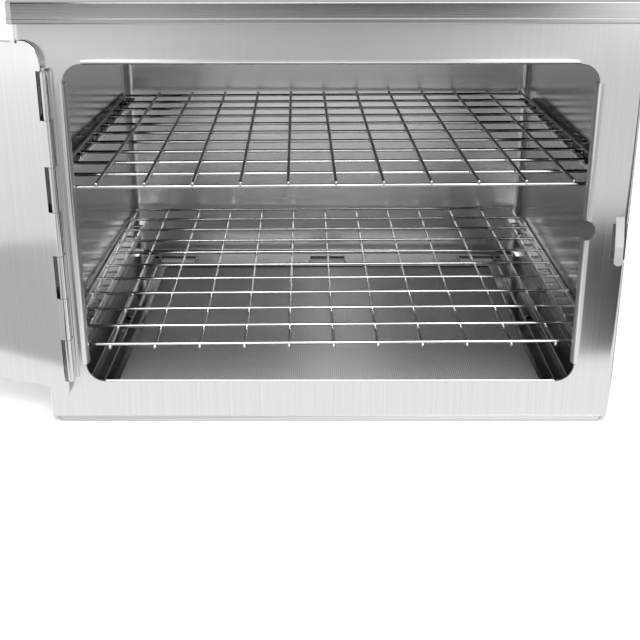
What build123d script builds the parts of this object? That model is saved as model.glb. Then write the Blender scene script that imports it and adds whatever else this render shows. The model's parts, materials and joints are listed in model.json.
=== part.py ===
from build123d import *
import os

# A small sheet-steel food dehydrator: a box with a framed doorway, two wire racks on
# ledges, a mesh floor that lets warm air rise, a side-hinged door with a turn latch and
# a lift-off lid. X runs to the right, Y away from the viewer and Z up. The origin is the
# middle of the base ring's underside. All sizes are in millimetres.

# Casing
body_width = 311.4
body_depth = 272.0
body_height = 230.4
sheet = 0.8
front_bend = 3.2
back_bend = 6.0
foot_bend = 1.6
return_depth = 15.5
seam_gap = 0.4
floor_flange = 12.0

# Base ring under the casing
plinth_height = 4.3
plinth_inset = 3.6
plinth_setback = 2.7
plinth_corner = 3.0

# Doorway
opening_side_margin = 23.2
opening_bottom = 27.2
opening_height = 172.5
opening_corner = 10.0
opening_relief = 0.8
opening_bend = 3.0
opening_flange = 6.0
opening_hem = 8.0
notch_radius = 5.5

# Latch keeper pressed out of the right upright
keeper_width = 4.4
keeper_proud = 3.2
keeper_lean = 0.7
keeper_ramp = 15.6
keeper_tab = 10.2
keeper_drop = 7.8
keeper_slit = 1.3
keeper_window = 21.5

# Mesh floor and the strips that clamp it
mesh_side_margin = 29.7
mesh_front_margin = 24.0
mesh_rear_margin = 39.0
mesh_lap = 2.5
mesh_thickness = 0.6
mesh_cells_across = 17
mesh_cells_deep = 14
mesh_strand = 2.4
rail_width = 13.5
rail_lap = 0.5
rear_rail_width = 25.0
front_rail_width = 12.0
rail_border = 7.7
bead_inset = 7.2
bead_radius = 1.6
bead_sink = 0.3
slot_width = 27.0
slot_depth = 13.0
slot_inset = 8.0
slot_lip = 1.6
rivet_radius = 2.6
rivet_height = 1.2

# Rack ledges
upper_ledge_top = 134.0
lower_ledge_top = 39.0
upper_ledge_width = 9.2
lower_ledge_width = 13.4
ledge_leg = 11.0
ledge_lip = 3.5
ledge_curl = 0.9
ledge_end_gap = 2.0

# Wire racks
rack_wire = 2.0
rack_side_gap = 3.7
rack_play = 18.4
rack_cells_across = 12
rack_cells_deep = 10
rack_overhang = 0.2
weld_sink = 0.3
rest_gap = 0.05
upper_rack_setback = 9.3
lower_rack_setback = 15.2
upper_rack_skew = 1.35
lower_rack_skew = 0.95

# Hinge
hinge_edge_gap = 8.35
hinge_standoff = 4.2
barrel_radius = 1.9
pin_radius = 1.0
pin_fit = 0.02
turn_fit = 0.05
knuckle_count = 7
knuckle_gap = 0.3
hinge_end_gap = 2.5
leaf_width = 2.3
leaf_height = 1.9
pin_head = 0.5

# Door
door_open = 199.0
door_reach = 11.5
door_rise = 12.3
door_drop = 3.2
strip_width = 11.5
strip_extra = 9.0
door_corner = 11.0
step_round = 2.0
hem_width = 9.5
hem_inset = 16.0
relief_width = 1.5
relief_depth = 1.2
slot_reach = 3.1

# Turn latch
pivot_radius = 3.0
bushing_radius = 4.0
bushing_flange = 6.2
bushing_flange_thick = 0.7
washer_thick = 0.6
lever_thick = 1.6
lever_width = 12.0
lever_length = 42.0
lever_angle = -143.0
tongue_gap = 0.3
tongue_thick = 1.0
tongue_width = 7.0
tongue_length = 23.0
tongue_angle = -90.0
head_radius = 4.2
head_thick = 1.4
knob_radius = 7.0
knob_height = 16.0
knob_neck = 3.5

# Lid
lid_overhang = 2.0
lid_gap = 0.05
lid_skirt = 11.4
lid_corner = 3.5
lid_bend = 1.6
hem_height = 3.1
hem_out = 0.3
hem_round = 0.7

half_width = body_width / 2
front = -body_depth / 2
back = body_depth / 2
wall_inside = half_width - sheet
opening_width = body_width - 2 * opening_side_margin
opening_top = opening_bottom + opening_height
opening_middle = opening_bottom + opening_height / 2
hinge_x = -opening_width / 2 - hinge_edge_gap
hinge_y = front - hinge_standoff


def box(x0, x1, y0, y1, z0, z1):
    """A block between two corners."""
    middle = Pos((x0 + x1) / 2, (y0 + y1) / 2, (z0 + z1) / 2)
    return middle * Box(x1 - x0, y1 - y0, z1 - z0)


def rod(axis, start, end, first, second, radius):
    """A round bar along one axis, with the other two coordinates given in order."""
    middle = (start + end) / 2
    length = end - start
    if axis == "x":
        return Pos(middle, first, second) * Rot(0, 90, 0) * Cylinder(radius, length)
    if axis == "y":
        return Pos(first, middle, second) * Rot(90, 0, 0) * Cylinder(radius, length)
    return Pos(first, second, middle) * Cylinder(radius, length)


def bend(axis, start, end, first, second, first_side, second_side, outer):
    """A quarter-round sheet bend about an axis. The two sides pick the quarter kept."""
    ring = rod(axis, start, end, first, second, outer)
    ring -= rod(axis, start - 1, end + 1, first, second, outer - sheet)
    f0, f1 = sorted((first, first + first_side * outer))
    s0, s1 = sorted((second, second + second_side * outer))
    if axis == "x":
        return ring & box(start, end, f0, f1, s0, s1)
    if axis == "y":
        return ring & box(f0, f1, start, end, s0, s1)
    return ring & box(f0, f1, s0, s1, start, end)


def rounded_plate(width, depth, radius, z0, z1):
    """A plate with rounded corners, centred on the Z axis."""
    outline = RectangleRounded(width, depth, radius)
    return Pos(0, 0, z0) * extrude(outline, amount=z1 - z0)


def edges_along_y(shape, x, z):
    """The edges that run front to back through one point of the XZ plane."""
    found = []
    for edge in shape.edges().filter_by(Axis.Y):
        place = edge.center()
        if abs(place.X - x) < 1e-3 and abs(place.Z - z) < 1e-3:
            found.append(edge)
    return found


def mirror_x(shape):
    """The same piece on the other side of the casing."""
    return mirror(shape, about=Plane.YZ)


def end_panel(corner):
    """A plain front panel: flat sheet, rounded upright corners, side returns and a foot."""
    flat = half_width - corner
    foot = plinth_height + foot_bend
    panel = box(-flat, flat, front, front + sheet, foot, body_height)
    panel += bend("x", -flat, flat, front + foot_bend, foot, -1, -1, foot_bend)
    panel += box(
        -flat, flat, front + foot_bend, front + floor_flange,
        plinth_height, plinth_height + sheet,
    )
    for side in (-1, 1):
        panel += bend(
            "z", plinth_height, body_height,
            side * flat, front + corner, side, -1, corner,
        )
        x0, x1 = sorted((side * wall_inside, side * half_width))
        panel += box(
            x0, x1, front + corner, front + return_depth,
            plinth_height, body_height,
        )
    return panel


def cut_doorway(panel):
    """The doorway: plain-cut corner arcs, flanges on three sides and a hem along the sill."""
    grown = 2 * opening_relief
    outline = RectangleRounded(
        opening_width + grown, opening_height + grown, opening_corner
    )
    hole = Plane.XZ * outline
    hole = extrude(hole, amount=20, both=True)
    panel -= Pos(0, front, opening_middle) * hole
    half = opening_width / 2
    along_x = half + opening_relief - opening_corner
    along_z = opening_height / 2 + opening_relief - opening_corner
    z_low = opening_middle - along_z
    z_high = opening_middle + along_z
    y_bend = front + opening_bend
    y_end = front + opening_flange
    for side in (-1, 1):
        x0, x1 = sorted((side * half, side * (half + opening_bend)))
        panel -= box(x0, x1, front - 1, front + 2, z_low, z_high)
        panel += bend(
            "z", z_low, z_high,
            side * (half + opening_bend), y_bend, -side, -1, opening_bend,
        )
        x0, x1 = sorted((side * half, side * (half + sheet)))
        panel += box(x0, x1, y_bend, y_end, z_low, z_high)
    bend_top = opening_top + opening_bend
    panel -= box(-along_x, along_x, front - 1, front + 2, opening_top, bend_top)
    panel += bend("x", -along_x, along_x, y_bend, bend_top, -1, -1, opening_bend)
    panel += box(-along_x, along_x, y_bend, y_end, opening_top, opening_top + sheet)
    fold = opening_bottom - sheet
    panel += box(-along_x, along_x, front, front + sheet, fold - 1, fold)
    crest = rod("x", -along_x, along_x, front + sheet, fold, sheet)
    panel += crest & box(-along_x, along_x, front - 1, front + 3, fold, opening_bottom)
    panel += box(
        -along_x, along_x, front + sheet, front + 2 * sheet,
        opening_bottom - opening_hem, fold,
    )
    panel -= rod("y", front - 5, y_end + 5, half, opening_middle, notch_radius)
    return panel


def add_keeper(panel):
    """The keeper: a strip of the right upright that ramps out and hangs as a tab."""
    right = half_width - front_bend
    left = right - keeper_width
    root = opening_middle + keeper_drop
    crease = root - keeper_ramp
    tip = crease - keeper_tab
    outer = front - keeper_proud
    tip_out = outer - keeper_lean
    panel -= box(
        left - keeper_slit, half_width + 1, front - 1, front + front_bend,
        tip + 0.5, tip + 0.5 + keeper_window,
    )
    profile = Polyline(
        (front, root + 2),
        (front, root),
        (outer, crease),
        (tip_out, tip),
        (tip_out + sheet, tip),
        (outer + sheet, crease),
        (front + sheet, root),
        (front + sheet, root + 2),
        close=True,
    )
    strip = extrude(Plane.YZ * make_face(profile), amount=keeper_width)
    strip = Pos(left, 0, 0) * strip
    lower = edges_along_y(strip, left, tip) + edges_along_y(strip, right, tip)
    strip = fillet(lower, keeper_width * 0.45)
    return panel + strip


def side_wall():
    """The right side wall between the front and back returns, with a foot flange."""
    y0 = front + return_depth + seam_gap
    y1 = back - return_depth - seam_gap
    foot = plinth_height + foot_bend
    wall = box(wall_inside, half_width, y0, y1, foot, body_height)
    wall += bend("y", y0, y1, half_width - foot_bend, foot, 1, -1, foot_bend)
    wall += box(
        half_width - floor_flange, half_width - foot_bend, y0, y1,
        plinth_height, plinth_height + sheet,
    )
    return wall


mesh_half = half_width - mesh_side_margin
mesh_front = front + mesh_front_margin
mesh_back = back - mesh_rear_margin
rail_foot = plinth_height
rail_under = plinth_height + mesh_thickness
rail_top = rail_under + sheet
rear_rail_middle = mesh_back + rear_rail_width / 2 + 3.0


def vent_slots(z0, z1):
    """The three slots of the rear strip, as cutters."""
    slots = []
    outer = mesh_half - slot_inset
    for place in (-outer, 0, outer):
        slots.append(
            box(
                place - slot_width / 2, place + slot_width / 2,
                rear_rail_middle - slot_depth / 2, rear_rail_middle + slot_depth / 2,
                z0, z1,
            )
        )
    return slots


def plinth():
    """The base ring: a shallow tray turned over, open in the middle under the mesh."""
    width = body_width - 2 * plinth_inset
    depth = body_depth - 2 * plinth_setback
    ring = rounded_plate(width, depth, plinth_corner, 0, plinth_height)
    ring -= rounded_plate(
        width - 2 * sheet, depth - 2 * sheet, plinth_corner - sheet,
        -1, plinth_height - sheet,
    )
    ring -= box(-mesh_half, mesh_half, mesh_front, mesh_back, -1, plinth_height + 1)
    for slot in vent_slots(-1, plinth_height + 1):
        ring -= slot
    return ring


def floor_mesh():
    """The mesh as one holed sheet, laid on the base ring around the opening."""
    x_edge = mesh_half + mesh_lap
    y0 = mesh_front - mesh_lap
    y1 = mesh_back + mesh_lap
    x_pitch = (2 * mesh_half + mesh_strand) / mesh_cells_across
    y_pitch = (mesh_back - mesh_front + mesh_strand) / mesh_cells_deep
    hole = Rectangle(x_pitch - mesh_strand, y_pitch - mesh_strand)
    places = []
    for i in range(mesh_cells_across):
        for j in range(mesh_cells_deep):
            x = (i - (mesh_cells_across - 1) / 2) * x_pitch
            y = (mesh_front + mesh_back) / 2 + (j - (mesh_cells_deep - 1) / 2) * y_pitch
            places.append(Pos(x, y) * hole)
    outer = Pos(0, (y0 + y1) / 2) * Rectangle(2 * x_edge, y1 - y0)
    wires = [place.wire() for place in places]
    net = Face(outer.wire(), wires)
    return Pos(0, 0, plinth_height) * extrude(net, amount=mesh_thickness, dir=(0, 0, 1))


def side_rail():
    """The right clamp strip: a flat border, a doubled outer part and a bead on its edge."""
    x0 = mesh_half - rail_lap
    x1 = x0 + rail_width
    y0 = mesh_front + 2.0
    y1 = mesh_back
    step = mesh_half + mesh_lap + 0.1
    rail = box(x0, x1, y0, y1, rail_under, rail_top)
    rail += box(step, x1, y0, y1, rail_foot, rail_under)
    layer = box(mesh_half + rail_border, x1, y0, y1, rail_top, rail_top + sheet)
    edge = layer.edges().filter_by(Axis.Y).group_by(Axis.X)[0].sort_by(Axis.Z)[-1]
    rail += fillet(edge, sheet / 2)
    middle = (y0 + y1) / 2
    bead = rod("y", middle + 22, y1 - 3, mesh_half + bead_inset, rail_top - bead_sink, bead_radius)
    return rail + (bead & box(x0, x1, y0, y1, rail_under, rail_top + 5))


def end_rail(y_inner, y_step, y_outer):
    """The front or rear clamp strip, which steps down past the edge of the mesh."""
    half = mesh_half - rail_lap + rail_width
    y0, y1 = sorted((y_inner, y_outer))
    s0, s1 = sorted((y_step, y_outer))
    rail = box(-half, half, y0, y1, rail_under, rail_top)
    return rail + box(-half, half, s0, s1, rail_foot, rail_under)


def rear_rail():
    """The rear clamp strip with three slots whose short ends are turned up."""
    step = mesh_back + mesh_lap + 0.1
    rail = end_rail(mesh_back, step, mesh_back + rear_rail_width + 2.0)
    for slot in vent_slots(rail_foot - 1, rail_top + 1):
        rail -= slot
        room = slot.bounding_box()
        for x in (room.min.X - sheet, room.max.X):
            rail += box(
                x, x + sheet, room.min.Y, room.max.Y, rail_under, rail_top + slot_lip
            )
    return rail


def rivets():
    """Domed rivet heads along the side strips."""
    x = mesh_half - rail_lap + rail_width - rivet_radius
    ball = (rivet_radius**2 + rivet_height**2) / (2 * rivet_height)
    middle = (mesh_front + mesh_back) / 2
    doubled = rail_top + sheet
    heads = []
    for side in (-1, 1):
        for y, seat in (
            (mesh_front + 14, doubled),
            (middle + 3, doubled),
            (mesh_back + rear_rail_width - 4, rail_top),
        ):
            top = seat + rivet_height
            dome = Pos(side * x, y, top - ball) * Sphere(ball)
            heads.append(dome & box(side * x - 9, side * x + 9, y - 9, y + 9, seat, top))
    return Compound(children=[head.solid() for head in heads])


def runner(top, width):
    """A right-hand rack ledge: a leg on the wall, a flat top and a lip with a curled edge."""
    y0 = front + return_depth + ledge_end_gap
    y1 = back - return_depth - ledge_end_gap
    inner = wall_inside - width
    low = top - foot_bend
    ledge = box(inner + foot_bend, wall_inside - foot_bend, y0, y1, top - sheet, top)
    ledge += bend("y", y0, y1, wall_inside - foot_bend, low, 1, 1, foot_bend)
    ledge += bend("y", y0, y1, inner + foot_bend, low, -1, 1, foot_bend)
    ledge += box(wall_inside - sheet, wall_inside, y0, y1, top - ledge_leg, low)
    ledge += box(inner, inner + sheet, y0, y1, top - ledge_lip, low)
    return ledge + rod("y", y0, y1, inner + ledge_curl * 0.6, top - ledge_lip, ledge_curl)


def rack(front_end, cross_z, long_z, skew):
    """A welded wire rack, lying a little askew on its ledges as it was pushed in."""
    wire = rack_wire / 2
    half = wall_inside - rack_side_gap - wire
    length = body_depth - 2 * sheet - rack_play
    x_pitch = 2 * half / rack_cells_across
    y_first = front_end + rack_overhang + wire
    y_pitch = (length - rack_wire - 2 * rack_overhang) / rack_cells_deep
    first = -half - wire - rack_overhang
    wires = []
    for i in range(rack_cells_across + 1):
        x = -half + i * x_pitch
        wires.append(rod("y", front_end, front_end + length, x, long_z, wire))
    for j in range(rack_cells_deep + 1):
        y = y_first + j * y_pitch
        wires.append(rod("x", first, -first, y, cross_z, wire))
    grid = wires[0].fuse(*wires[1:])
    middle = front_end + length / 2
    return Pos(0, middle, 0) * Rot(0, 0, skew) * Pos(0, -middle, 0) * grid


hinge_low = opening_bottom + hinge_end_gap
hinge_high = opening_top - hinge_end_gap
knuckle = (hinge_high - hinge_low) / knuckle_count


def knuckle_span(index):
    """The lower and upper end of one hinge knuckle."""
    low = hinge_low + index * knuckle
    return low + knuckle_gap / 2, low + knuckle - knuckle_gap / 2


def hinge_leaf():
    """The fixed half of the hinge: a ridge on the front panel with webs and knuckles."""
    x0 = hinge_x + barrel_radius - sheet
    leaf = box(x0, x0 + leaf_width, front - leaf_height, front, hinge_low, hinge_high)
    corner = leaf.edges().filter_by(Axis.Z).group_by(Axis.X)[-1].sort_by(Axis.Y)[0]
    leaf = fillet(corner, sheet / 2)
    for index in range(0, knuckle_count, 2):
        low, high = knuckle_span(index)
        barrel = rod("z", low, high, hinge_x, hinge_y, barrel_radius)
        leaf += box(x0, x0 + sheet, hinge_y, front, low, high) + barrel
    bore = pin_radius + pin_fit
    return leaf - rod("z", hinge_low - 1, hinge_high + 1, hinge_x, hinge_y, bore)


def hinge_pin():
    """The hinge pin with a small head at each end."""
    pin = rod("z", hinge_low, hinge_high, hinge_x, hinge_y, pin_radius)
    head = barrel_radius - 0.3
    pin += rod("z", hinge_low - pin_head, hinge_low, hinge_x, hinge_y, head)
    return pin + rod("z", hinge_high, hinge_high + pin_head, hinge_x, hinge_y, head)


# The door and its latch are drawn shut, with the hinge axis at X = Y = 0, and are then
# swung open to where they rest.
door_inside = barrel_radius
door_outside = barrel_radius - sheet
door_edge = opening_width / 2 - hinge_x + door_reach
door_low = opening_bottom - door_drop
door_high = opening_top + door_rise
strip_low = door_low - strip_extra
strip_start = 0.8
latch_s = opening_width / 2 - hinge_x
latch_z = opening_middle


def swing(shape):
    """Move a door piece from the shut drawing to the open door."""
    return Pos(hinge_x, hinge_y, 0) * Rot(0, 0, -door_open) * shape


def door_panel():
    """The door: a flat sheet with hemmed edges and rolled knuckles on the hinge side."""
    panel = box(strip_width, door_edge, door_outside, door_inside, door_low, door_high)
    panel += box(strip_start, strip_width, door_outside, door_inside, strip_low, door_high)
    strip_corner = min(door_corner, 0.95 * (strip_width - strip_start))
    for s, z, radius in (
        (door_edge, door_high, door_corner),
        (door_edge, door_low, door_corner),
        (strip_start, door_high, strip_corner),
        (strip_start, strip_low, strip_corner),
    ):
        panel = fillet(edges_along_y(panel, s, z), radius)
    panel = fillet(edges_along_y(panel, strip_width, door_low), step_round)
    notch = strip_width + 0.5
    panel -= box(
        notch, notch + relief_width, -5, 5, door_high - relief_depth, door_high + 1
    )
    hem_end = door_edge - hem_inset
    for edge, inward in ((door_high, -1), (door_low, 1)):
        inner = edge + inward * sheet
        flap = edge + inward * hem_width
        z0, z1 = sorted((edge - inward, inner))
        panel -= box(hem_inset, hem_end, -5, 5, z0, z1)
        fold = rod("x", hem_inset, hem_end, door_outside, inner, sheet)
        z0, z1 = sorted((edge, inner))
        panel += fold & box(hem_inset, hem_end, -5, 5, z0, z1)
        z0, z1 = sorted((inner, flap))
        panel += box(hem_inset, hem_end, door_outside - sheet, door_outside, z0, z1)
    for index in range(knuckle_count):
        low, high = knuckle_span(index)
        if index % 2 == 0:
            below = pin_head if index == 0 else 0
            above = pin_head if index == knuckle_count - 1 else 0
            panel -= box(
                -5, slot_reach, -5, 5, low - knuckle_gap - below, high + knuckle_gap + above
            )
    for index in range(1, knuckle_count, 2):
        low, high = knuckle_span(index)
        panel += rod("z", low, high, 0, 0, barrel_radius)
        panel += box(0, strip_start + 0.1, door_outside, door_inside, low, high)
    bore = pin_radius + turn_fit
    panel -= rod("z", strip_low, door_high, 0, 0, bore)
    panel -= rod("y", -5, 5, latch_s, latch_z, bushing_radius + pin_fit)
    return panel


bushing_face = door_outside - bushing_flange_thick
washer_face = bushing_face - washer_thick - 0.1
lever_back = washer_face - 0.1
lever_face = lever_back - lever_thick
tongue_face = door_inside + tongue_gap
tongue_back = tongue_face + tongue_thick


def turned(shape, angle):
    """Turn a latch piece, drawn along +X from the pivot, and put it on the door."""
    return Pos(latch_s, 0, latch_z) * Rot(0, -angle, 0) * shape


def latch_bar(length, width, y0, y1):
    """A flat bar with round ends, from the pivot outwards, with the pivot's square hole."""
    bar = box(0, length, y0, y1, -width / 2, width / 2)
    bar += rod("y", y0, y1, 0, 0, width / 2)
    bar += rod("y", y0, y1, length, 0, width / 2)
    hole = pivot_radius + pin_fit
    return bar - rod("y", y0 - 1, y1 + 1, 0, 0, hole)


def latch_bushing():
    """The flanged sleeve in the door that the latch turns in."""
    sleeve = rod("y", bushing_face, door_inside, latch_s, latch_z, bushing_radius)
    sleeve += rod("y", bushing_face, door_outside, latch_s, latch_z, bushing_flange)
    bore = pivot_radius + turn_fit
    return sleeve - rod("y", -20, 20, latch_s, latch_z, bore)


def latch_washer():
    """The spring washer between the sleeve and the lever."""
    ring = rod("y", washer_face, washer_face + washer_thick, latch_s, latch_z, bushing_flange)
    return ring - rod("y", -20, 20, latch_s, latch_z, pivot_radius + pin_fit)


def latch_pivot():
    """The pivot pin: a domed outer head, a plain shank and a flat inner head."""
    shank = rod("y", lever_face, tongue_back, latch_s, latch_z, pivot_radius)
    inner = rod("y", tongue_back, tongue_back + head_thick, latch_s, latch_z, head_radius)
    outer = rod("y", lever_face - head_thick, lever_face, latch_s, latch_z, head_radius)
    rim = outer.edges().sort_by(Axis.Y)[0]
    return shank + inner + fillet(rim, head_thick * 0.7)


def latch_tongue():
    """The flat tongue on the door's inner side that turns in behind the keeper."""
    return turned(latch_bar(tongue_length, tongue_width, tongue_face, tongue_back), tongue_angle)


def latch_lever():
    """The flat lever on the door's outer side."""
    return turned(latch_bar(lever_length, lever_width, lever_face, lever_back), lever_angle)


def latch_knob():
    """The finger knob standing on the lever's end."""
    end = lever_face - knob_height
    knob = rod("y", end, lever_face - knob_neck, lever_length, 0, knob_radius)
    knob = fillet(knob.edges().filter_by(GeomType.CIRCLE), 1.6)
    knob += rod("y", lever_face - knob_neck - 1, lever_face, lever_length, 0, knob_radius * 0.6)
    return turned(knob, lever_angle)


def lid():
    """The lift-off lid: a flat top with a skirt all round and a rolled lower edge."""
    width = body_width + 2 * lid_overhang
    depth = body_depth + 2 * lid_overhang
    under = body_height + lid_gap
    top = under + sheet
    low = top - lid_skirt
    cover = rounded_plate(width, depth, lid_corner, low, top)
    cover = fillet(cover.faces().sort_by(Axis.Z)[-1].edges(), lid_bend)
    hem = rounded_plate(
        width + 2 * hem_out, depth + 2 * hem_out, lid_corner + hem_out, low, low + hem_height
    )
    rims = hem.faces().sort_by(Axis.Z)[0].edges() + hem.faces().sort_by(Axis.Z)[-1].edges()
    cover += fillet(rims, hem_round)
    hollow = rounded_plate(
        width - 2 * sheet, depth - 2 * sheet, lid_corner - sheet, low - 1, under
    )
    return cover - fillet(hollow.faces().sort_by(Axis.Z)[-1].edges(), lid_bend - sheet)


def build():
    """Every piece of the dehydrator by name, with the door open."""
    wire = rack_wire / 2
    near = wire + rest_gap
    far = near + rack_wire - weld_sink
    right_wall = side_wall()
    right_rail = side_rail()
    upper_right = runner(upper_ledge_top, upper_ledge_width)
    lower_right = runner(lower_ledge_top, lower_ledge_width)
    front_rail_inner = mesh_front + 1.9
    front_rail_step = mesh_front - mesh_lap - 0.1
    return {
        "front_frame": add_keeper(cut_doorway(end_panel(front_bend))),
        "back_wall": Rot(0, 0, 180) * end_panel(back_bend),
        "left_side_wall": mirror_x(right_wall),
        "right_side_wall": right_wall,
        "base_plinth": plinth(),
        "floor_mesh": floor_mesh(),
        "mesh_left_rail": mirror_x(right_rail),
        "mesh_right_rail": right_rail,
        "mesh_front_rail": end_rail(
            front_rail_inner, front_rail_step, front_rail_inner - front_rail_width
        ),
        "mesh_rear_rail": rear_rail(),
        "rail_rivets": rivets(),
        "upper_left_runner": mirror_x(upper_right),
        "upper_right_runner": upper_right,
        "lower_left_runner": mirror_x(lower_right),
        "lower_right_runner": lower_right,
        "upper_rack": rack(
            front + sheet + upper_rack_setback, upper_ledge_top + near, upper_ledge_top + far,
            upper_rack_skew,
        ),
        "lower_rack": rack(
            front + sheet + lower_rack_setback, lower_ledge_top + far, lower_ledge_top + near,
            lower_rack_skew,
        ),
        "hinge_leaf": hinge_leaf(),
        "hinge_pin": hinge_pin(),
        "door_panel": swing(door_panel()),
        "latch_bushing": swing(latch_bushing()),
        "latch_washer": swing(latch_washer()),
        "latch_pivot": swing(latch_pivot()),
        "latch_tongue": swing(latch_tongue()),
        "latch_lever": swing(latch_lever()),
        "latch_knob": swing(latch_knob()),
        "lid": lid(),
    }


os.makedirs("parts", exist_ok=True)
for name, piece in build().items():
    export_step(piece, f"parts/{name}.step")
    print(name, len(piece.solids()), "solid", round(piece.volume), "mm3")
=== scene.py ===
# %% [markdown]
# # A sheet-steel food dehydrator
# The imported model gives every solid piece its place: casing, racks, door, latch and lid.
# This lesson dresses them. It gives each piece a steel finish, weaves the fine floor mesh
# that the solids only hint at, adds the weld marks of a real cabinet, and lights it all
# like a product on a pale table.

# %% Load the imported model
import json
import math

import bmesh
import bpy
from mathutils import Matrix, Vector


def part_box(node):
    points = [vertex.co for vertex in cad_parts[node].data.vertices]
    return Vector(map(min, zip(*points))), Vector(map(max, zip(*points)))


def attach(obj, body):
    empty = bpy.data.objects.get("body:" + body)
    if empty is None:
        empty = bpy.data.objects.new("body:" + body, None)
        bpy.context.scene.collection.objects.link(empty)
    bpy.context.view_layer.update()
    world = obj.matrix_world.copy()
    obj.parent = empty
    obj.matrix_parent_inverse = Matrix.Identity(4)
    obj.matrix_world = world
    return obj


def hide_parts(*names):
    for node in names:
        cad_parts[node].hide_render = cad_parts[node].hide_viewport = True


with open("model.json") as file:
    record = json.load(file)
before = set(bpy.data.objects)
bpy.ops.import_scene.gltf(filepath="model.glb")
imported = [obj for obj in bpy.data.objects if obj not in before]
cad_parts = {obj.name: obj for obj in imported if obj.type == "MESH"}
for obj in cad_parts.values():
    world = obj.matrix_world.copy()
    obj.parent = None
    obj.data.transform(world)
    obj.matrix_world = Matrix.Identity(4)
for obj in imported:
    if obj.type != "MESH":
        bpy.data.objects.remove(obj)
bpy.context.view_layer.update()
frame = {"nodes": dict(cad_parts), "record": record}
nodes = frame["nodes"]
MM = 0.001

# %% [markdown]
# ## The camera
# The picture was taken from just above the lid, looking down at about nineteen degrees
# and almost square to the doorway. The object sits high in the frame, so the lens is
# shifted: that keeps the uprights where they are instead of tilting the camera further.

# %% Camera at the picture's angle
IMAGE_SIDE = 640
SENSOR_WIDTH = 36.0
focal_pixels = 981.2
optical_row = 238.8
camera_place = Vector((-4.66, -619.8, 278.1)) * MM
camera_right = Vector((0.999999, 0.001354, -0.000908))
camera_forward = Vector((-0.001578, 0.94423, -0.329284))
camera_up = Vector((0.000411, 0.329285, 0.944231))
camera_data = bpy.data.cameras.new("photo_camera")
camera_data.sensor_width = SENSOR_WIDTH
camera_data.lens = focal_pixels / IMAGE_SIDE * SENSOR_WIDTH
camera_data.shift_y = (optical_row - IMAGE_SIDE / 2) / IMAGE_SIDE
camera_data.clip_start = 0.01
camera = bpy.data.objects.new("photo_camera", camera_data)
turn = Matrix((camera_right, camera_up, -camera_forward)).transposed()
camera.matrix_world = Matrix.Translation(camera_place) @ turn.to_4x4()
bpy.context.scene.collection.objects.link(camera)
bpy.context.scene.camera = camera
print("camera lens", round(camera_data.lens, 2), "mm, shift", round(camera_data.shift_y, 4))

# %% [markdown]
# ## Node helpers
# Materials here are built from small nodes. A few helpers add a node, set its inputs and
# link it, so that the later cells can say what a material does rather than how it is wired.

# %% Node helpers


def place(tree, kind, x, y, **inputs):
    """Add a node to a tree and set some of its inputs by name."""
    node = tree.nodes.new(kind)
    node.location = (x, y)
    for name, value in inputs.items():
        node.inputs[name.replace("_", " ")].default_value = value
    return node


def feed(tree, slots, operands):
    """Give each input slot a fixed value, or a link from an output socket."""
    for slot, operand in zip(slots, operands):
        if isinstance(operand, (int, float, tuple)):
            slot.default_value = operand
        else:
            tree.links.new(operand, slot)


def math_node(tree, operation, x, y, *operands):
    """A Math node; each operand is a number or an output socket."""
    node = place(tree, "ShaderNodeMath", x, y)
    node.operation = operation
    feed(tree, node.inputs, operands)
    return node.outputs[0]


def vector_node(tree, operation, x, y, *operands):
    """A Vector Math node; each operand is a fixed vector or an output socket."""
    node = place(tree, "ShaderNodeVectorMath", x, y)
    node.operation = operation
    feed(tree, node.inputs, operands)
    return node


def blend(tree, y, mask, plain, masked):
    """The plain value, or the masked one where the mask is 1."""
    gap = math_node(tree, "SUBTRACT", -200, y, masked, plain)
    step = math_node(tree, "MULTIPLY", 0, y, gap, mask)
    return math_node(tree, "ADD", 180, y, step, plain)


print("node helpers ready")

# %% [markdown]
# ## Brushed steel
# Stainless sheet is rolled and then brushed in one direction. The brush leaves hair-fine
# scratches that run the length of the sheet, and they smear reflections sideways. One
# node group makes those marks from noise that is stretched along the brushing, so every
# steel finish on the cabinet can use it with its own stretch and strength.

# %% The brushing group
UPRIGHT = (2400.0, 2400.0, 12.0)
SIDEWAYS = (12.0, 2400.0, 2400.0)
FLOAT = "NodeSocketFloat"
COLOUR = "NodeSocketColor"
NOISE_MIDDLE = 0.5
brushing = bpy.data.node_groups.new("brushing_marks", "ShaderNodeTree")
for name, kind, value in (
    ("Stretch", "NodeSocketVector", UPRIGHT),
    ("Roughness", FLOAT, 0.2),
    ("Inner Roughness", FLOAT, 0.2),
    ("Inner Painted Shading", FLOAT, 1.0),
    ("Foot Painted Shade", FLOAT, 1.0),
    ("Streak", FLOAT, 0.08),
    ("Smudge", FLOAT, 0.06),
    ("Tint", COLOUR, (0.6, 0.6, 0.6, 1.0)),
):
    socket = brushing.interface.new_socket(name=name, in_out="INPUT", socket_type=kind)
    socket.default_value = value
for name, kind in (("Colour", COLOUR), ("Roughness", FLOAT), ("Height", FLOAT)):
    brushing.interface.new_socket(name=name, in_out="OUTPUT", socket_type=kind)
inside = place(brushing, "NodeGroupInput", -900, 0)
outside = place(brushing, "NodeGroupOutput", 900, 0)
coords = place(brushing, "ShaderNodeTexCoord", -900, -300)
position = coords.outputs["Object"]
normal = coords.outputs["Normal"]
stretched = vector_node(brushing, "MULTIPLY", -650, -150, position, inside.outputs["Stretch"])
hairs = place(brushing, "ShaderNodeTexNoise", -430, -100, Scale=1.0, Detail=3.0, Roughness=0.6)
brushing.links.new(stretched.outputs[0], hairs.inputs["Vector"])
cloud = place(brushing, "ShaderNodeTexNoise", -430, -350, Scale=26.0, Detail=4.0, Roughness=0.55)
brushing.links.new(position, cloud.inputs["Vector"])
hair = math_node(brushing, "SUBTRACT", -200, -100, hairs.outputs["Fac"], NOISE_MIDDLE)
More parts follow.
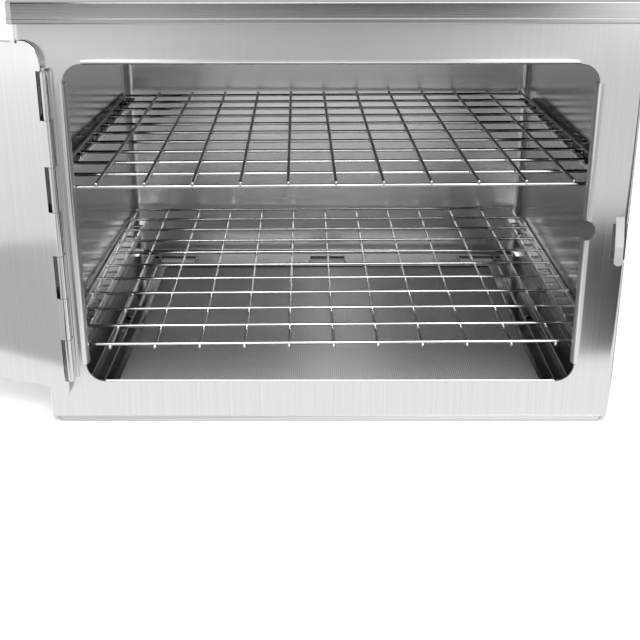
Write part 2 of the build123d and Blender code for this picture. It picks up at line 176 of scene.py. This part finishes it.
haze = math_node(brushing, "SUBTRACT", -200, -350, cloud.outputs["Fac"], NOISE_MIDDLE)
print("group", brushing.name, "marks made from", hairs.name, "and", cloud.name)

# %% [markdown]
# One sheet has two faces that do not look the same. The outer face is brushed and wiped
# clean. The face inside is duller, and its colour carries a painted shading for how light
# falls inside the box: painted light on the back wall, painted shade on the side walls
# and under the lid. Both belong to one solid, so the group tells them apart: where the
# surface looks back towards the middle of the cabinet, it is an inner face. Inner faces
# that also look upward are the turned-in feet of the panels. Their colour takes a painted
# shade of its own, for the shade and dark reflections that lie on them.

# %% Inner faces and feet
CABINET_MIDDLE = (0.0, 0.0, 0.115)
STRAIGHT_UP = (0.0, 0.0, 1.0)
LEVEL_ENOUGH = 0.6
outward = vector_node(brushing, "SUBTRACT", -650, -550, position, CABINET_MIDDLE)
facing = vector_node(brushing, "DOT_PRODUCT", -430, -550, outward.outputs[0], normal)
inner = math_node(brushing, "LESS_THAN", -200, -550, facing.outputs["Value"], 0.0)
upward = vector_node(brushing, "DOT_PRODUCT", -430, -750, normal, STRAIGHT_UP)
level = math_node(brushing, "GREATER_THAN", -200, -750, upward.outputs["Value"], LEVEL_ENOUGH)
foot = math_node(brushing, "MULTIPLY", 0, -650, level, inner)
rough_base = blend(brushing, 60, inner, inside.outputs["Roughness"], inside.outputs["Inner Roughness"])
# Inner faces take a painted shading in their colour, and the feet take a painted shade.
inner_painted_shading = blend(brushing, 260, inner, 1.0, inside.outputs["Inner Painted Shading"])
foot_painted_shade = blend(brushing, 560, foot, 1.0, inside.outputs["Foot Painted Shade"])
print("group", brushing.name, "tells inner faces and feet apart")

# %% [markdown]
# The marks now become colour and roughness. A scratch is a little lighter or darker than
# the sheet, and it is rougher too. The slow cloud of haze only touches the roughness, as
# a wiped-off fingerprint does.

# %% Marks to colour and roughness
STREAK_TONE = 0.22
hair_amount = math_node(brushing, "MULTIPLY", 0, -120, hair, inside.outputs["Streak"])
haze_amount = math_node(brushing, "MULTIPLY", 0, -350, haze, inside.outputs["Smudge"])
rough_sum = math_node(brushing, "ADD", 360, -60, rough_base, hair_amount)
rough_total = math_node(brushing, "ADD", 540, -120, rough_sum, haze_amount)
hair_tone = math_node(brushing, "MULTIPLY", 0, 420, hair, STREAK_TONE)
streaks = math_node(brushing, "ADD", 180, 420, hair_tone, 1.0)
# The colour is scaled here by the painted shading of inner faces and the painted shade of the feet.
streaks_in_painted_shading = math_node(brushing, "MULTIPLY", 360, 340, streaks, inner_painted_shading)
tone = math_node(brushing, "MULTIPLY", 480, 400, streaks_in_painted_shading, foot_painted_shade)
colour = vector_node(brushing, "SCALE", 600, 200, inside.outputs["Tint"])
brushing.links.new(tone, colour.inputs["Scale"])
for result, name in (
    (colour.outputs[0], "Colour"),
    (rough_total, "Roughness"),
    (hairs.outputs["Fac"], "Height"),
):
    brushing.links.new(result, outside.inputs[name])
print("group", brushing.name, "nodes", len(brushing.nodes))

# %% [markdown]
# ## Steel finishes
# Each finish is a metallic Principled shader. The group drives what changes over the
# surface, and the plain numbers sit on the shader's own sockets. Anisotropy stretches
# reflections across the brushing. The front and sides are brushed upright, so their
# tangent turns about the upright axis. The lid and the back are brushed sideways, so
# theirs turns about the sideways axis and their reflections smear up and down.

# %% How a steel is made
SMUDGE_SHARE = 0.3
BLUE_SHARE = 0.993
SCRATCH_DEPTH = 0.04 * MM


def steel(name, tint, roughness, brush, streak, bump, anisotropy, tangent="Z", within=None):
    """A brushed metal; within gives its inner faces a roughness, a painted shading and a painted foot
    shade.
    """
    inner_roughness, painted_shading_inside, painted_shade_at_foot = within or (roughness, 1.0, 1.0)
    material = bpy.data.materials.new(name)
    material.use_nodes = True
    tree = material.node_tree
    tree.nodes.clear()
    output = place(tree, "ShaderNodeOutputMaterial", 600, 0)
    shader = place(tree, "ShaderNodeBsdfPrincipled", 250, 0, Metallic=1.0, Anisotropic=anisotropy)
    marks = place(tree, "ShaderNodeGroup", -250, 0)
    marks.node_tree = brushing
    for label, value in (
        ("Stretch", brush),
        ("Roughness", roughness),
        ("Inner Roughness", inner_roughness),
        ("Inner Painted Shading", painted_shading_inside),
        ("Foot Painted Shade", painted_shade_at_foot),
        ("Streak", streak),
        ("Smudge", SMUDGE_SHARE * roughness),
        ("Tint", (tint, tint, BLUE_SHARE * tint, 1.0)),
    ):
        marks.inputs[label].default_value = value
    ridges = place(tree, "ShaderNodeBump", 0, -250, Strength=bump, Distance=SCRATCH_DEPTH)
    grain = place(tree, "ShaderNodeTangent", 0, -450)
    grain.direction_type = "RADIAL"
    grain.axis = tangent
    for source, target in (
        (marks.outputs["Colour"], shader.inputs["Base Color"]),
        (marks.outputs["Roughness"], shader.inputs["Roughness"]),
        (marks.outputs["Height"], ridges.inputs["Height"]),
        (ridges.outputs["Normal"], shader.inputs["Normal"]),
        (grain.outputs["Tangent"], shader.inputs["Tangent"]),
        (shader.outputs["BSDF"], output.inputs["Surface"]),
    ):
        tree.links.new(source, target)
    return material


print("steel uses group", brushing.name)

# %% [markdown]
# Each row below is one finish: its name, tint, roughness, brushing, strength of the
# streaks, bump and anisotropy. Sheets that are brushed sideways add the tangent's axis,
# and sheets that close the box add how they look inside. The lid is painted nearly black
# there, a painted shade. The dark tints of the plinth, the floor rails and, darkest of all,
# the rear floor strip are painted shade for the shade and dark reflections on them. The
# upper rack's wire has a darker tint than the lower rack's, a painted shade on one wire.

# %% Make the steel materials
finishes = {}
for row in (
    # The last column holds inner roughness, painted shading of inner faces and painted foot shade.
    ("casing_steel", 0.66, 0.18, UPRIGHT, 0.08, 0.35, 0.5, "Z", (0.35, 1.0, 0.75)),
    # The side walls take painted shade inside and on their feet.
    ("side_steel", 0.66, 0.2, UPRIGHT, 0.08, 0.25, 0.5, "Z", (0.2, 0.75, 0.25)),
    # The back wall's inner face takes painted light, and its foot is painted nearly black as painted
    # shade.
    ("back_steel", 0.66, 0.2, SIDEWAYS, 0.08, 0.25, 0.2, "X", (0.3, 1.45, 0.04)),
    # The plinth's darker tint is a painted shade for the dim floor it mirrors.
    ("plinth_steel", 0.5, 0.2, SIDEWAYS, 0.06, 0.3, 0.3, "X"),
    # The rear strip's near-black tint is a painted shade.
    ("rear_steel", 0.13, 0.14, SIDEWAYS, 0.04, 0.1, 0.2, "X"),
    # The lid's inner face is painted nearly black, a painted shade.
    ("lid_steel", 0.5, 0.12, SIDEWAYS, 0.03, 0.1, 0.3, "X", (0.5, 0.03, 1.0)),
    ("door_steel", 0.66, 0.12, UPRIGHT, 0.04, 0.15, 0.4),
    ("inner_steel", 0.62, 0.05, UPRIGHT, 0.03, 0.05, 0.2),
    # The floor rails' dark tint is a painted shade.
    ("floor_steel", 0.22, 0.1, SIDEWAYS, 0.04, 0.1, 0.2, "X"),
    ("mesh_steel", 0.48, 0.42, UPRIGHT, 0.1, 0.1, 0.0),
    # The upper rack's wire is tinted darker than the lower rack's: a painted shade on the same wire.
    ("rack_wire", 0.45, 0.08, UPRIGHT, 0.05, 0.1, 0.0),
    ("lower_wire", 0.6, 0.1, UPRIGHT, 0.05, 0.1, 0.0),
    ("fitting_steel", 0.62, 0.13, UPRIGHT, 0.08, 0.2, 0.3),
):
    finishes[row[0]] = steel(*row)
print("steel finishes", len(finishes))

# %% [markdown]
# ## The knob's plastic
# The latch knob is pressed from a dark heat-resistant plastic. It has a fine moulded
# grain, so its gloss breaks up a little instead of shining like wet paint.

# %% Make the plastic
KNOB_DARK = (0.012, 0.012, 0.013, 1.0)
KNOB_LIGHT = (0.03, 0.03, 0.031, 1.0)
KNOB_ROUGHNESS = 0.32
KNOB_ROUGHNESS_SPREAD = 0.25
KNOB_GRAIN_DEPTH = 0.05 * MM
knob_plastic = bpy.data.materials.new("knob_plastic")
knob_plastic.use_nodes = True
knob_tree = knob_plastic.node_tree
knob_shader = knob_tree.nodes["Principled BSDF"]
knob_coords = place(knob_tree, "ShaderNodeTexCoord", -800, -100)
knob_noise = place(knob_tree, "ShaderNodeTexNoise", -600, -100, Scale=2600.0, Detail=3.0)
knob_grain = knob_noise.outputs["Fac"]
knob_ramp = place(knob_tree, "ShaderNodeValToRGB", -350, 100)
for stop, shade in zip(knob_ramp.color_ramp.elements, (KNOB_DARK, KNOB_LIGHT)):
    stop.color = shade
knob_rough = math_node(
    knob_tree, "MULTIPLY_ADD", -350, -250, knob_grain, KNOB_ROUGHNESS_SPREAD, KNOB_ROUGHNESS
)
knob_bump = place(knob_tree, "ShaderNodeBump", -250, -400, Strength=0.3, Distance=KNOB_GRAIN_DEPTH)
for source, target in (
    (knob_coords.outputs["Object"], knob_noise.inputs["Vector"]),
    (knob_grain, knob_ramp.inputs["Fac"]),
    (knob_ramp.outputs["Color"], knob_shader.inputs["Base Color"]),
    (knob_rough, knob_shader.inputs["Roughness"]),
    (knob_grain, knob_bump.inputs["Height"]),
    (knob_bump.outputs["Normal"], knob_shader.inputs["Normal"]),
):
    knob_tree.links.new(source, target)
finishes["knob_plastic"] = knob_plastic
print("plastic", knob_plastic.name)

# %% [markdown]
# ## Finishes on the solid pieces
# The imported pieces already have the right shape, so each one only takes its finish. Most
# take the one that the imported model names, and a few have one of their own.

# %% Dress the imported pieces
own_finish = {
    "lid": "lid_steel",
    "back_wall": "back_steel",
    "left_side_wall": "side_steel",
    "right_side_wall": "side_steel",
    "door_panel": "door_steel",
    "base_plinth": "plinth_steel",
    "mesh_rear_rail": "rear_steel",
    "lower_rack": "lower_wire",
}
for part in frame["record"]["subparts"]:
    piece = nodes[part["node"]]
    finish = own_finish.get(part["node"], part["material_slot"])
    piece.data.materials.clear()
    piece.data.materials.append(finishes[finish])

# %% [markdown]
# ## The floor mesh
# The real floor is a fine woven wire cloth. Each wire is far too thin to matter as a solid
# for weight or contact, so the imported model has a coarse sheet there. Here real wires take
# its place: a layer along and a layer across, pressed into each other where they cross.

# %% How a wire and a piece are made


def finish_piece(mesh_name, maker, material, body):
    """Make a mesh object from bmesh code, dress it and let it ride on a body."""
    build = bmesh.new()
    maker(build)
    data = bpy.data.meshes.new(mesh_name)
    build.to_mesh(data)
    build.free()
    piece = bpy.data.objects.new(mesh_name, data)
    bpy.context.scene.collection.objects.link(piece)
    data.materials.append(material)
    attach(piece, body)
    return piece


def straight_wire(build, start, end, radius, sides):
    """A thin closed rod between two points, with flat ends."""
    along = (end - start).normalized()
    across = along.cross(Vector((0.0, 0.0, 1.0))).normalized()
    upward = across.cross(along)
    rings = []
    for point in (start, end):
        ring = []
        for k in range(sides):
            angle = 2 * math.pi * (k + 0.5) / sides
            offset = across * math.cos(angle) + upward * math.sin(angle)
            ring.append(build.verts.new(point + offset * radius))
        rings.append(ring)
    for k in range(sides):
        following = (k + 1) % sides
        face = build.faces.new((rings[0][k], rings[0][following], rings[1][following], rings[1][k]))
        face.smooth = True
    build.faces.new(list(reversed(rings[0])))
    build.faces.new(rings[1])


print("wire and piece makers ready")

# %% Lay the mesh wires
mesh_low, mesh_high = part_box("floor_mesh")
mesh_pitch = 1.25 * MM
mesh_inset = 0.4 * MM
mesh_wire_radius = 0.21 * MM
mesh_wire_sides = 4
mesh_layer_step = 1.7 * mesh_wire_radius


def weave_floor(build):
    """All the wires of the floor mesh, in two layers."""
    low = mesh_low.z + mesh_wire_radius
    for across, along, height in ((0, 1, low + mesh_layer_step), (1, 0, low)):
        room = mesh_high[across] - mesh_low[across] - 2 * mesh_inset
        for k in range(int(room / mesh_pitch) + 1):
            start = Vector((0.0, 0.0, height))
            start[across] = mesh_low[across] + mesh_inset + k * mesh_pitch
            end = start.copy()
            start[along] = mesh_low[along] + mesh_inset
            end[along] = mesh_high[along] - mesh_inset
            straight_wire(build, start, end, mesh_wire_radius, mesh_wire_sides)


floor_weave = finish_piece("floor_weave", weave_floor, finishes["mesh_steel"], "cabinet")
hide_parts("floor_mesh")
print("mesh wires", len(floor_weave.data.polygons) // (mesh_wire_sides + 2))

# %% [markdown]
# ## Weld nubs on the racks
# A rack is made by pressing crossed wires together and welding every crossing. Each weld
# leaves a small bright nub, and the ends of the long wires are rounded where they were
# cut. The nubs catch the light as the row of dots along each rack.

# %% Weld nubs and rounded ends
rack_wire_radius = 1.0 * MM
rack_cells_across = 12
rack_cells_deep = 10
rack_overhang = 0.2 * MM
upper_rack_skew = math.radians(1.35)
lower_rack_skew = math.radians(0.95)
weld_size = (1.25 * MM, 1.25 * MM, 0.85 * MM)
dome_radius = 0.98 * rack_wire_radius
dome_depth = 0.45 * MM
nub_detail = 2


def nub(build, centre, radii):
    """A small flattened ball."""
    made = bmesh.ops.create_icosphere(build, subdivisions=nub_detail, radius=1.0)
    shape = Matrix.Translation(centre) @ Matrix.Diagonal((*radii, 1.0))
    bmesh.ops.transform(build, matrix=shape, verts=made["verts"])
    for vertex in made["verts"]:
        for face in vertex.link_faces:
            face.smooth = True


def rack_details(node, long_on_top, skew):
    """The welds of one rack and the domed ends of its long wires, askew as the rack is."""
    low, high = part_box(node)
    middle = (low + high) / 2
    spread = high - low
    cosine, sine = math.cos(skew), math.sin(skew)
    width = (spread.x * cosine - spread.y * sine) / math.cos(2 * skew)
    length = (spread.y * cosine - spread.x * sine) / math.cos(2 * skew)
    edge = rack_wire_radius + rack_overhang
    x_step = (width - 2 * edge) / rack_cells_across
    y_step = (length - 2 * edge) / rack_cells_deep
    top_wire = high.z - rack_wire_radius
    low_wire = low.z + rack_wire_radius
    end_z = top_wire if long_on_top else low_wire

    def on_rack(x, y, z):
        return Vector((middle.x + x * cosine - y * sine, middle.y + x * sine + y * cosine, z))

    def maker(build):
        for i in range(rack_cells_across + 1):
            x = edge - width / 2 + i * x_step
            for j in range(rack_cells_deep + 1):
                y = edge - length / 2 + j * y_step
                nub(build, on_rack(x, y, (top_wire + low_wire) / 2), weld_size)
            for y in (-length / 2, length / 2):
                nub(build, on_rack(x, y, end_z), (dome_radius, dome_depth, dome_radius))

    return finish_piece(node + "_welds", maker, nodes[node].data.materials[0], node)


rack_details("upper_rack", True, upper_rack_skew)
rack_details("lower_rack", False, lower_rack_skew)
print("welds per rack", (rack_cells_across + 1) * (rack_cells_deep + 1))

# %% [markdown]
# ## Spot welds on the casing
# Sheet cabinets are joined by spot welds. Each one shows outside as a faint round dent
# with a raised rim. They run down the seams where the front and back panels wrap round
# the sides.

# %% Spot-weld rims
rim_radius = 2.1 * MM
rim_height = 0.12 * MM
rim_sides = 20
rim_profile = ((1.0, -0.2), (0.9, 1.0), (0.74, 1.0), (0.62, -0.2))
seam_rows = 6
seam_offset = 7 * MM
seam_start = 22 * MM
seam_margins = 52 * MM


def weld_rim(build, centre, axis):
    """A low ring that stands just proud of a flat sheet."""
    across = axis.orthogonal().normalized()
    other = axis.cross(across)
    rings = []
    for scale, lift in rim_profile:
        ring = []
        for k in range(rim_sides):
            angle = 2 * math.pi * k / rim_sides
            offset = across * math.cos(angle) + other * math.sin(angle)
            ring.append(build.verts.new(centre + offset * rim_radius * scale + axis * rim_height * lift))
        rings.append(ring)
    for first, second in zip(rings, rings[1:] + rings[:1]):
        for k in range(rim_sides):
            following = (k + 1) % rim_sides
            face = build.faces.new((first[k], first[following], second[following], second[k]))
            face.smooth = True


def casing_welds(build):
    """The welds down both side seams."""
    for node, side in (("left_side_wall", -1), ("right_side_wall", 1)):
        low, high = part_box(node)
        x = high.x if side > 0 else low.x
        for k in range(seam_rows):
            z = low.z + seam_start + k * (high.z - low.z - seam_margins) / (seam_rows - 1)
            for y in (low.y - seam_offset, high.y + seam_offset):
                weld_rim(build, Vector((x, y, z)), Vector((side, 0, 0)))


seam_welds = finish_piece("seam_welds", casing_welds, finishes["casing_steel"], "cabinet")
print("seam welds", len(seam_welds.data.polygons) // (rim_sides * len(rim_profile)))

# %% [markdown]
# ## The table
# The object stands on a pale floor. A faint glow of its own keeps the floor white where
# the cabinet and the open door would shade it.

# %% Floor
FLOOR_REACH = 6.0
floor_mesh = bpy.data.meshes.new("pale_floor")
floor_build = bmesh.new()
bmesh.ops.create_grid(floor_build, x_segments=1, y_segments=1, size=FLOOR_REACH)
floor_build.to_mesh(floor_mesh)
floor_build.free()
pale_floor = bpy.data.objects.new("pale_floor", floor_mesh)
bpy.context.scene.collection.objects.link(pale_floor)
floor_paint = bpy.data.materials.new("floor_paint")
floor_paint.use_nodes = True
for label, value in (
    ("Base Color", (0.9, 0.9, 0.9, 1.0)),
    ("Roughness", 0.9),
    ("Emission Color", (1.0, 1.0, 1.0, 1.0)),
    ("Emission Strength", 0.08),
):
    floor_paint.node_tree.nodes["Principled BSDF"].inputs[label].default_value = value
floor_mesh.materials.append(floor_paint)
print("floor", pale_floor.name)

# %% [markdown]
# ## Sky and lamps
# A soft white sky lights everything a little. Three wide lamps do the rest: one hangs
# overhead, one shines from high in front, and a low one reaches through the doorway to
# the back wall. The upper two would draw hard white lines on the lid's bends, so light
# linking leaves the lid out of their light.

# %% Sky and lamps
world = bpy.data.worlds.new("studio_sky")
world.use_nodes = True
for label, value in (("Color", (1.0, 1.0, 1.0, 1.0)), ("Strength", 0.9)):
    world.node_tree.nodes["Background"].inputs[label].default_value = value
bpy.context.scene.world = world
bpy.context.scene.view_settings.view_transform = "Standard"


def soft_lamp(name, stand, aim, width, height, power):
    """A rectangular studio lamp that faces a point."""
    data = bpy.data.lights.new(name, "AREA")
    data.shape = "RECTANGLE"
    data.size = width
    data.size_y = height
    data.energy = power
    lamp = bpy.data.objects.new(name, data)
    lamp.location = stand
    lamp.rotation_euler = (Vector(aim) - Vector(stand)).to_track_quat("-Z", "Y").to_euler()
    lamp.visible_camera = False
    bpy.context.scene.collection.objects.link(lamp)
    return lamp


top_lamp = soft_lamp("top_lamp", (0.0, -0.5, 1.6), (0.0, -0.25, 0.0), 1.6, 1.2, 16.0)
front_lamp = soft_lamp("front_lamp", (0.25, -1.35, 1.28), (0.0, 0.0, 0.05), 1.3, 0.5, 18.0)
low_lamp = soft_lamp("low_lamp", (0.12, -1.65, 0.76), (0.0, 0.0, 0.1), 1.3, 0.4, 7.5)
spared = bpy.data.collections.new("spared_by_lamps")
spared.objects.link(nodes["lid"])
spared.collection_objects[0].light_linking.link_state = "EXCLUDE"
for lamp in (top_lamp, front_lamp):
    lamp.light_linking.receiver_collection = spared
print("sky", world.name, "lamps", top_lamp.name, front_lamp.name, low_lamp.name)

# %% [markdown]
# ## Cards for the reflections
# Steel shows whatever stands round it, so a studio shapes its reflections with cards.
# Only reflections can see them here. Each point of a card carries two numbers: how
# strongly it glows, and how much it covers what lies behind it. Cover that fades to
# nothing at the rim gives the soft edges that a real reflection has. One material mixes
# the glow over what lies behind. A second one only adds its glow, so the card vanishes
# for pieces that it is not meant to light.

# %% The card materials


def card_paint(name, adds):
    """A glow that covers what lies behind it, or is only added to it."""
    material = bpy.data.materials.new(name)
    material.use_nodes = True
    tree = material.node_tree
    tree.nodes.clear()
    output = place(tree, "ShaderNodeOutputMaterial", 400, 0)
    clear = place(tree, "ShaderNodeBsdfTransparent", 0, 100)
    shine = place(tree, "ShaderNodeEmission", 0, -50)
    join = place(tree, "ShaderNodeAddShader" if adds else "ShaderNodeMixShader", 200, 0)
    readers = {}
    for label, y in (("cover", 300), ("glow", -150)):
        reader = place(tree, "ShaderNodeAttribute", -400, y)
        reader.attribute_name = label
        readers[label] = reader.outputs["Fac"]
    strength = readers["glow"]
    if adds:
        strength = math_node(tree, "MULTIPLY", -200, -50, readers["cover"], readers["glow"])
    else:
        tree.links.new(readers["cover"], join.inputs[0])
    tree.links.new(strength, shine.inputs["Strength"])
    tree.links.new(clear.outputs[0], join.inputs[-2])
    tree.links.new(shine.outputs[0], join.inputs[-1])
    tree.links.new(join.outputs[0], output.inputs["Surface"])
    return material


card_light = card_paint("card_light", adds=False)
bend_light = card_paint("bend_light", adds=True)
print("card materials", card_light.name, bend_light.name)

# %% [markdown]
# A card is a grid between four corners, given in millimetres: left and right at its near
# edge, then right and left at its far edge. Its glow is read off a short list of stops
# across it and another along it. Four fades tell how far its cover takes to build up
# from the left, right, near and far edge, as shares of the card.

# %% How a card is made
CARD_CELLS = 32
cards = []


def even(value):
    """One glow all over a card."""
    return ((0.0, value), (1.0, value))


def flat(height, *points):
    """The corners of a card that lies level at a height."""
    return [(x, y, height) for x, y in points]


def oblong(height, left, right, near, far):
    """The corners of a level card with square corners."""
    return flat(height, (left, near), (right, near), (right, far), (left, far))


def between(stops, at):
    """Read a value off a short list of (place, value) stops."""
    for (place0, value0), (place1, value1) in zip(stops, stops[1:]):
        if at <= place1:
            share = max(0.0, (at - place0) / (place1 - place0))
            return value0 + (value1 - value0) * share
    return stops[-1][1]


def rim_fade(near, far, at):
    """0 at both rims of a card and 1 once near or far of it is past."""
    reach = 1.0
    if near > 0:
        reach = min(reach, at / near)
    if far > 0:
        reach = min(reach, (1 - at) / far)
    return reach * reach * (3 - 2 * reach)


def reflection_card(name, corners, glow_across, fades, glow_along=even(1.0), paint=card_light):
    """A soft card that only reflections can see."""
    left0, right0, right1, left1 = [Vector(corner) * MM for corner in corners]
    points, faces, glow, cover = [], [], [], []
    row = CARD_CELLS + 1
    for j in range(row):
        along = j / CARD_CELLS
        for i in range(row):
            across = i / CARD_CELLS
            points.append(left0.lerp(right0, across).lerp(left1.lerp(right1, across), along))
            glow.append(between(glow_across, across) * between(glow_along, along))
            cover.append(rim_fade(fades[0], fades[1], across) * rim_fade(fades[2], fades[3], along))
    for j in range(CARD_CELLS):
        for i in range(CARD_CELLS):
            k = j * row + i
            faces.append((k, k + 1, k + row + 1, k + row))
    data = bpy.data.meshes.new(name)
    data.from_pydata(points, [], faces)
    for label, values in (("glow", glow), ("cover", cover)):
        data.attributes.new(label, "FLOAT", "POINT").data.foreach_set("value", values)
    data.materials.append(paint)
    card = bpy.data.objects.new(name, data)
    bpy.context.scene.collection.objects.link(card)
    card.visible_camera = False
    card.visible_diffuse = False
    card.visible_shadow = False
    card.visible_transmission = False
    cards.append(card)
    return card


print("cards have", CARD_CELLS * CARD_CELLS, "cells each")

# %% [markdown]
# First come the large cards. An upright one stands where the table ends, and its dark
# middle is what the header and the lid's rim mirror. A wide one brightens the table.
# Three more lie beside and behind the cabinet, so that its outer sides look like steel
# and not like white paper. A shade down the middle of the table gives the front its
# gradient.

# %% Large cards
TABLE_END = -2010
TABLE_FRONT = -140
HORIZON_HALF = 1300
HORIZON_TOP = 2100
HORIZON_FOOT = -5
TABLE_HALF = 1500
reflection_card(
    "horizon_card",
    (
        (-HORIZON_HALF, TABLE_END, HORIZON_FOOT),
        (HORIZON_HALF, TABLE_END, HORIZON_FOOT),
        (HORIZON_HALF, TABLE_END, HORIZON_TOP),
        (-HORIZON_HALF, TABLE_END, HORIZON_TOP),
    ),
    ((0.0, 0.02), (0.2, 0.05), (0.34, 0.36), (0.5, 0.05), (0.68, 0.02), (0.78, 1.5), (1.0, 1.5)),
    (0.1, 0.1, 0.0, 0.3),
    ((0.0, 1.0), (0.12, 1.0), (0.24, 0.45), (1.0, 0.45)),
)
reflection_card(
    "table_card",
    oblong(0.2, -TABLE_HALF, TABLE_HALF, TABLE_FRONT, TABLE_END),
    ((0.0, 1.08), (0.4, 1.0), (0.65, 0.86), (1.0, 0.86)),
    (0.1, 0.1, 0.0, 0.0),
    ((0.0, 1.2), (0.2, 1.1), (0.4, 1.0), (0.75, 1.0), (0.88, 1.55), (1.0, 1.35)),
)
for name, left, right, near, far in (
    ("left_card", -TABLE_HALF, -175, TABLE_FRONT, 900),
    ("far_right_card", 175, TABLE_HALF, TABLE_FRONT, 900),
    ("rear_card", -175, 175, 155, 1500),
):
    reflection_card(name, oblong(0.2, left, right, near, far), even(0.7), (0.02, 0.02, 0.0, 0.1))
reflection_card(
    "centre_shade",
    flat(0.4, (-230, -230), (230, -230), (560, TABLE_END), (-560, TABLE_END)),
    ((0.0, 0.9), (0.25, 0.68), (0.5, 0.58), (0.75, 0.66), (1.0, 0.92)),
    (0.2, 0.2, 0.02, 0.0),
    ((0.0, 1.35), (0.1, 1.2), (0.36, 0.97), (0.75, 1.0), (0.88, 1.8), (1.0, 1.45)),
)
print("large cards", len(cards))

# %% [markdown]
# Then come the small ones. A glow and a grey card on the left make the bright upper and
# dull lower band of the open door. Two dark cards put the shadow bands on the left and
# right uprights. One bright card lies right before the plinth.

# %% Small cards on the table
large_cards = len(cards)
reflection_card(
    "left_glow",
    flat(0.4, (-560, -170), (-395, -350), (-1250, -1450), (-1800, -900)),
    even(1.0),
    (0.1, 0.1, 0.0, 0.1),
    ((0.0, 1.0), (0.5, 1.2), (1.0, 1.7)),
)
reflection_card(
    "door_card",
    flat(0.8, (-400, -146), (-190, -187), (-395, -350), (-560, -170)),
    even(0.62),
    (0.1, 0.05, 0.02, 0.04),
)
reflection_card(
    "left_shade",
    flat(0.6, (-240, -198), (-125, -198), (-320, -1260), (-560, -1260)),
    even(1.0),
    (0.15, 0.15, 0.012, 0.2),
    ((0.0, 0.2), (0.12, 0.22), (0.2, 0.33), (1.0, 0.38)),
)
reflection_card(
    "right_card",
    flat(0.6, (135, -217), (1500, -320), (1500, -810), (135, -478)),
    even(0.06),
    (0.04, 0.3, 0.03, 0.08),
)
reflection_card(
    "near_card",
    flat(0.3, (-300, -130), (330, -146), (330, -236), (-300, -168)),
    even(1.18),
    (0.1, 0.1, 0.0, 0.06),
)
print("small cards", len(cards) - large_cards)

# %% [markdown]
# Last, two small cards hang just before the doorway's upper edge and whiten the ends of
# its bend. The shut door would mirror them as bright wedges. So they use the paint that
# only adds light, and light linking shows them to the front frame alone.

# %% Cards for the doorway's bend
BEND_CARD_HEIGHT = 192
BEND_CARD_NEAR = -141
BEND_CARD_FAR = -192
lit_bends = bpy.data.collections.new("lit_bends")
lit_bends.objects.link(nodes["front_frame"])
for name, left, right, glow, fades in (
    ("left_bend_card", -130, -45, ((0.0, 1.5), (1.0, 0.2)), (0.02, 0.8, 0.0, 0.3)),
    ("right_bend_card", 35, 128, ((0.0, 0.5), (1.0, 1.9)), (0.8, 0.02, 0.0, 0.3)),
):
    corners = oblong(BEND_CARD_HEIGHT, left, right, BEND_CARD_NEAR, BEND_CARD_FAR)
    bend_card = reflection_card(name, corners, glow, fades, paint=bend_light)
    bend_card.light_linking.receiver_collection = lit_bends
print("cards placed", len(cards))
